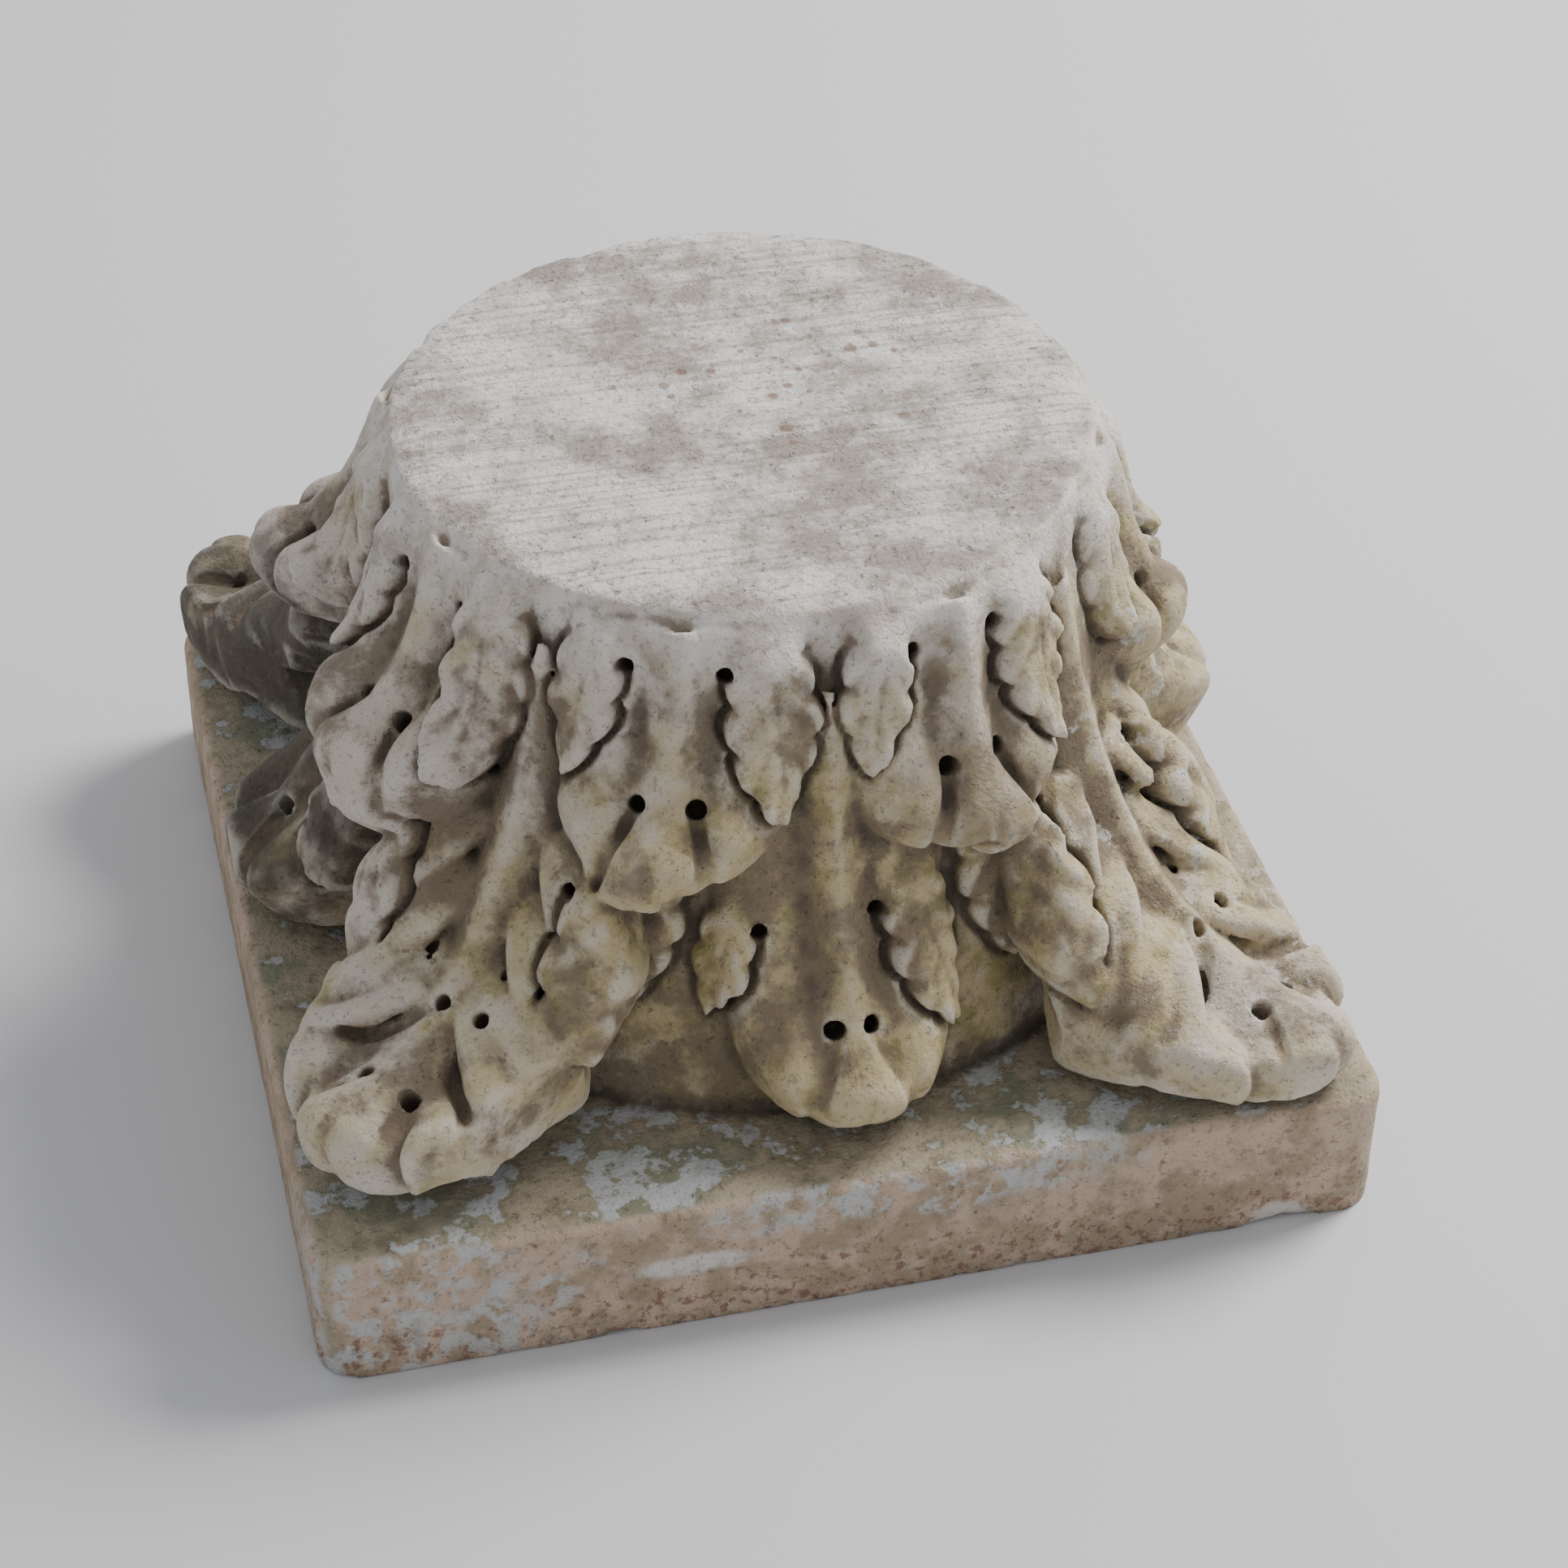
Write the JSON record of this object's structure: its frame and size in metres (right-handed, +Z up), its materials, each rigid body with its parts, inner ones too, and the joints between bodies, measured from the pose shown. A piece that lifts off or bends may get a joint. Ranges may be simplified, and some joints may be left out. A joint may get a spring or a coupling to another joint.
{
  "type": "corinthian capital",
  "caption": "Weathered marble corinthian capital with tiers of acanthus leaves, standing upside down on its square abacus slab, round shaft bed on top.",
  "frame": {"origin": "middle of the abacus slab's flat underside, on which the capital stands", "axes": "+Z up through the middle of the bed for the shaft, front face of the slab towards -Y, +X to the right"},
  "size_m": [0.4043, 0.4006, 0.261],
  "materials": {
    "marble": "rough, weathered, with lichen and moss"
  },
  "bodies": {
    "root": {"capital": "marble"}
  },
  "joints": []
}
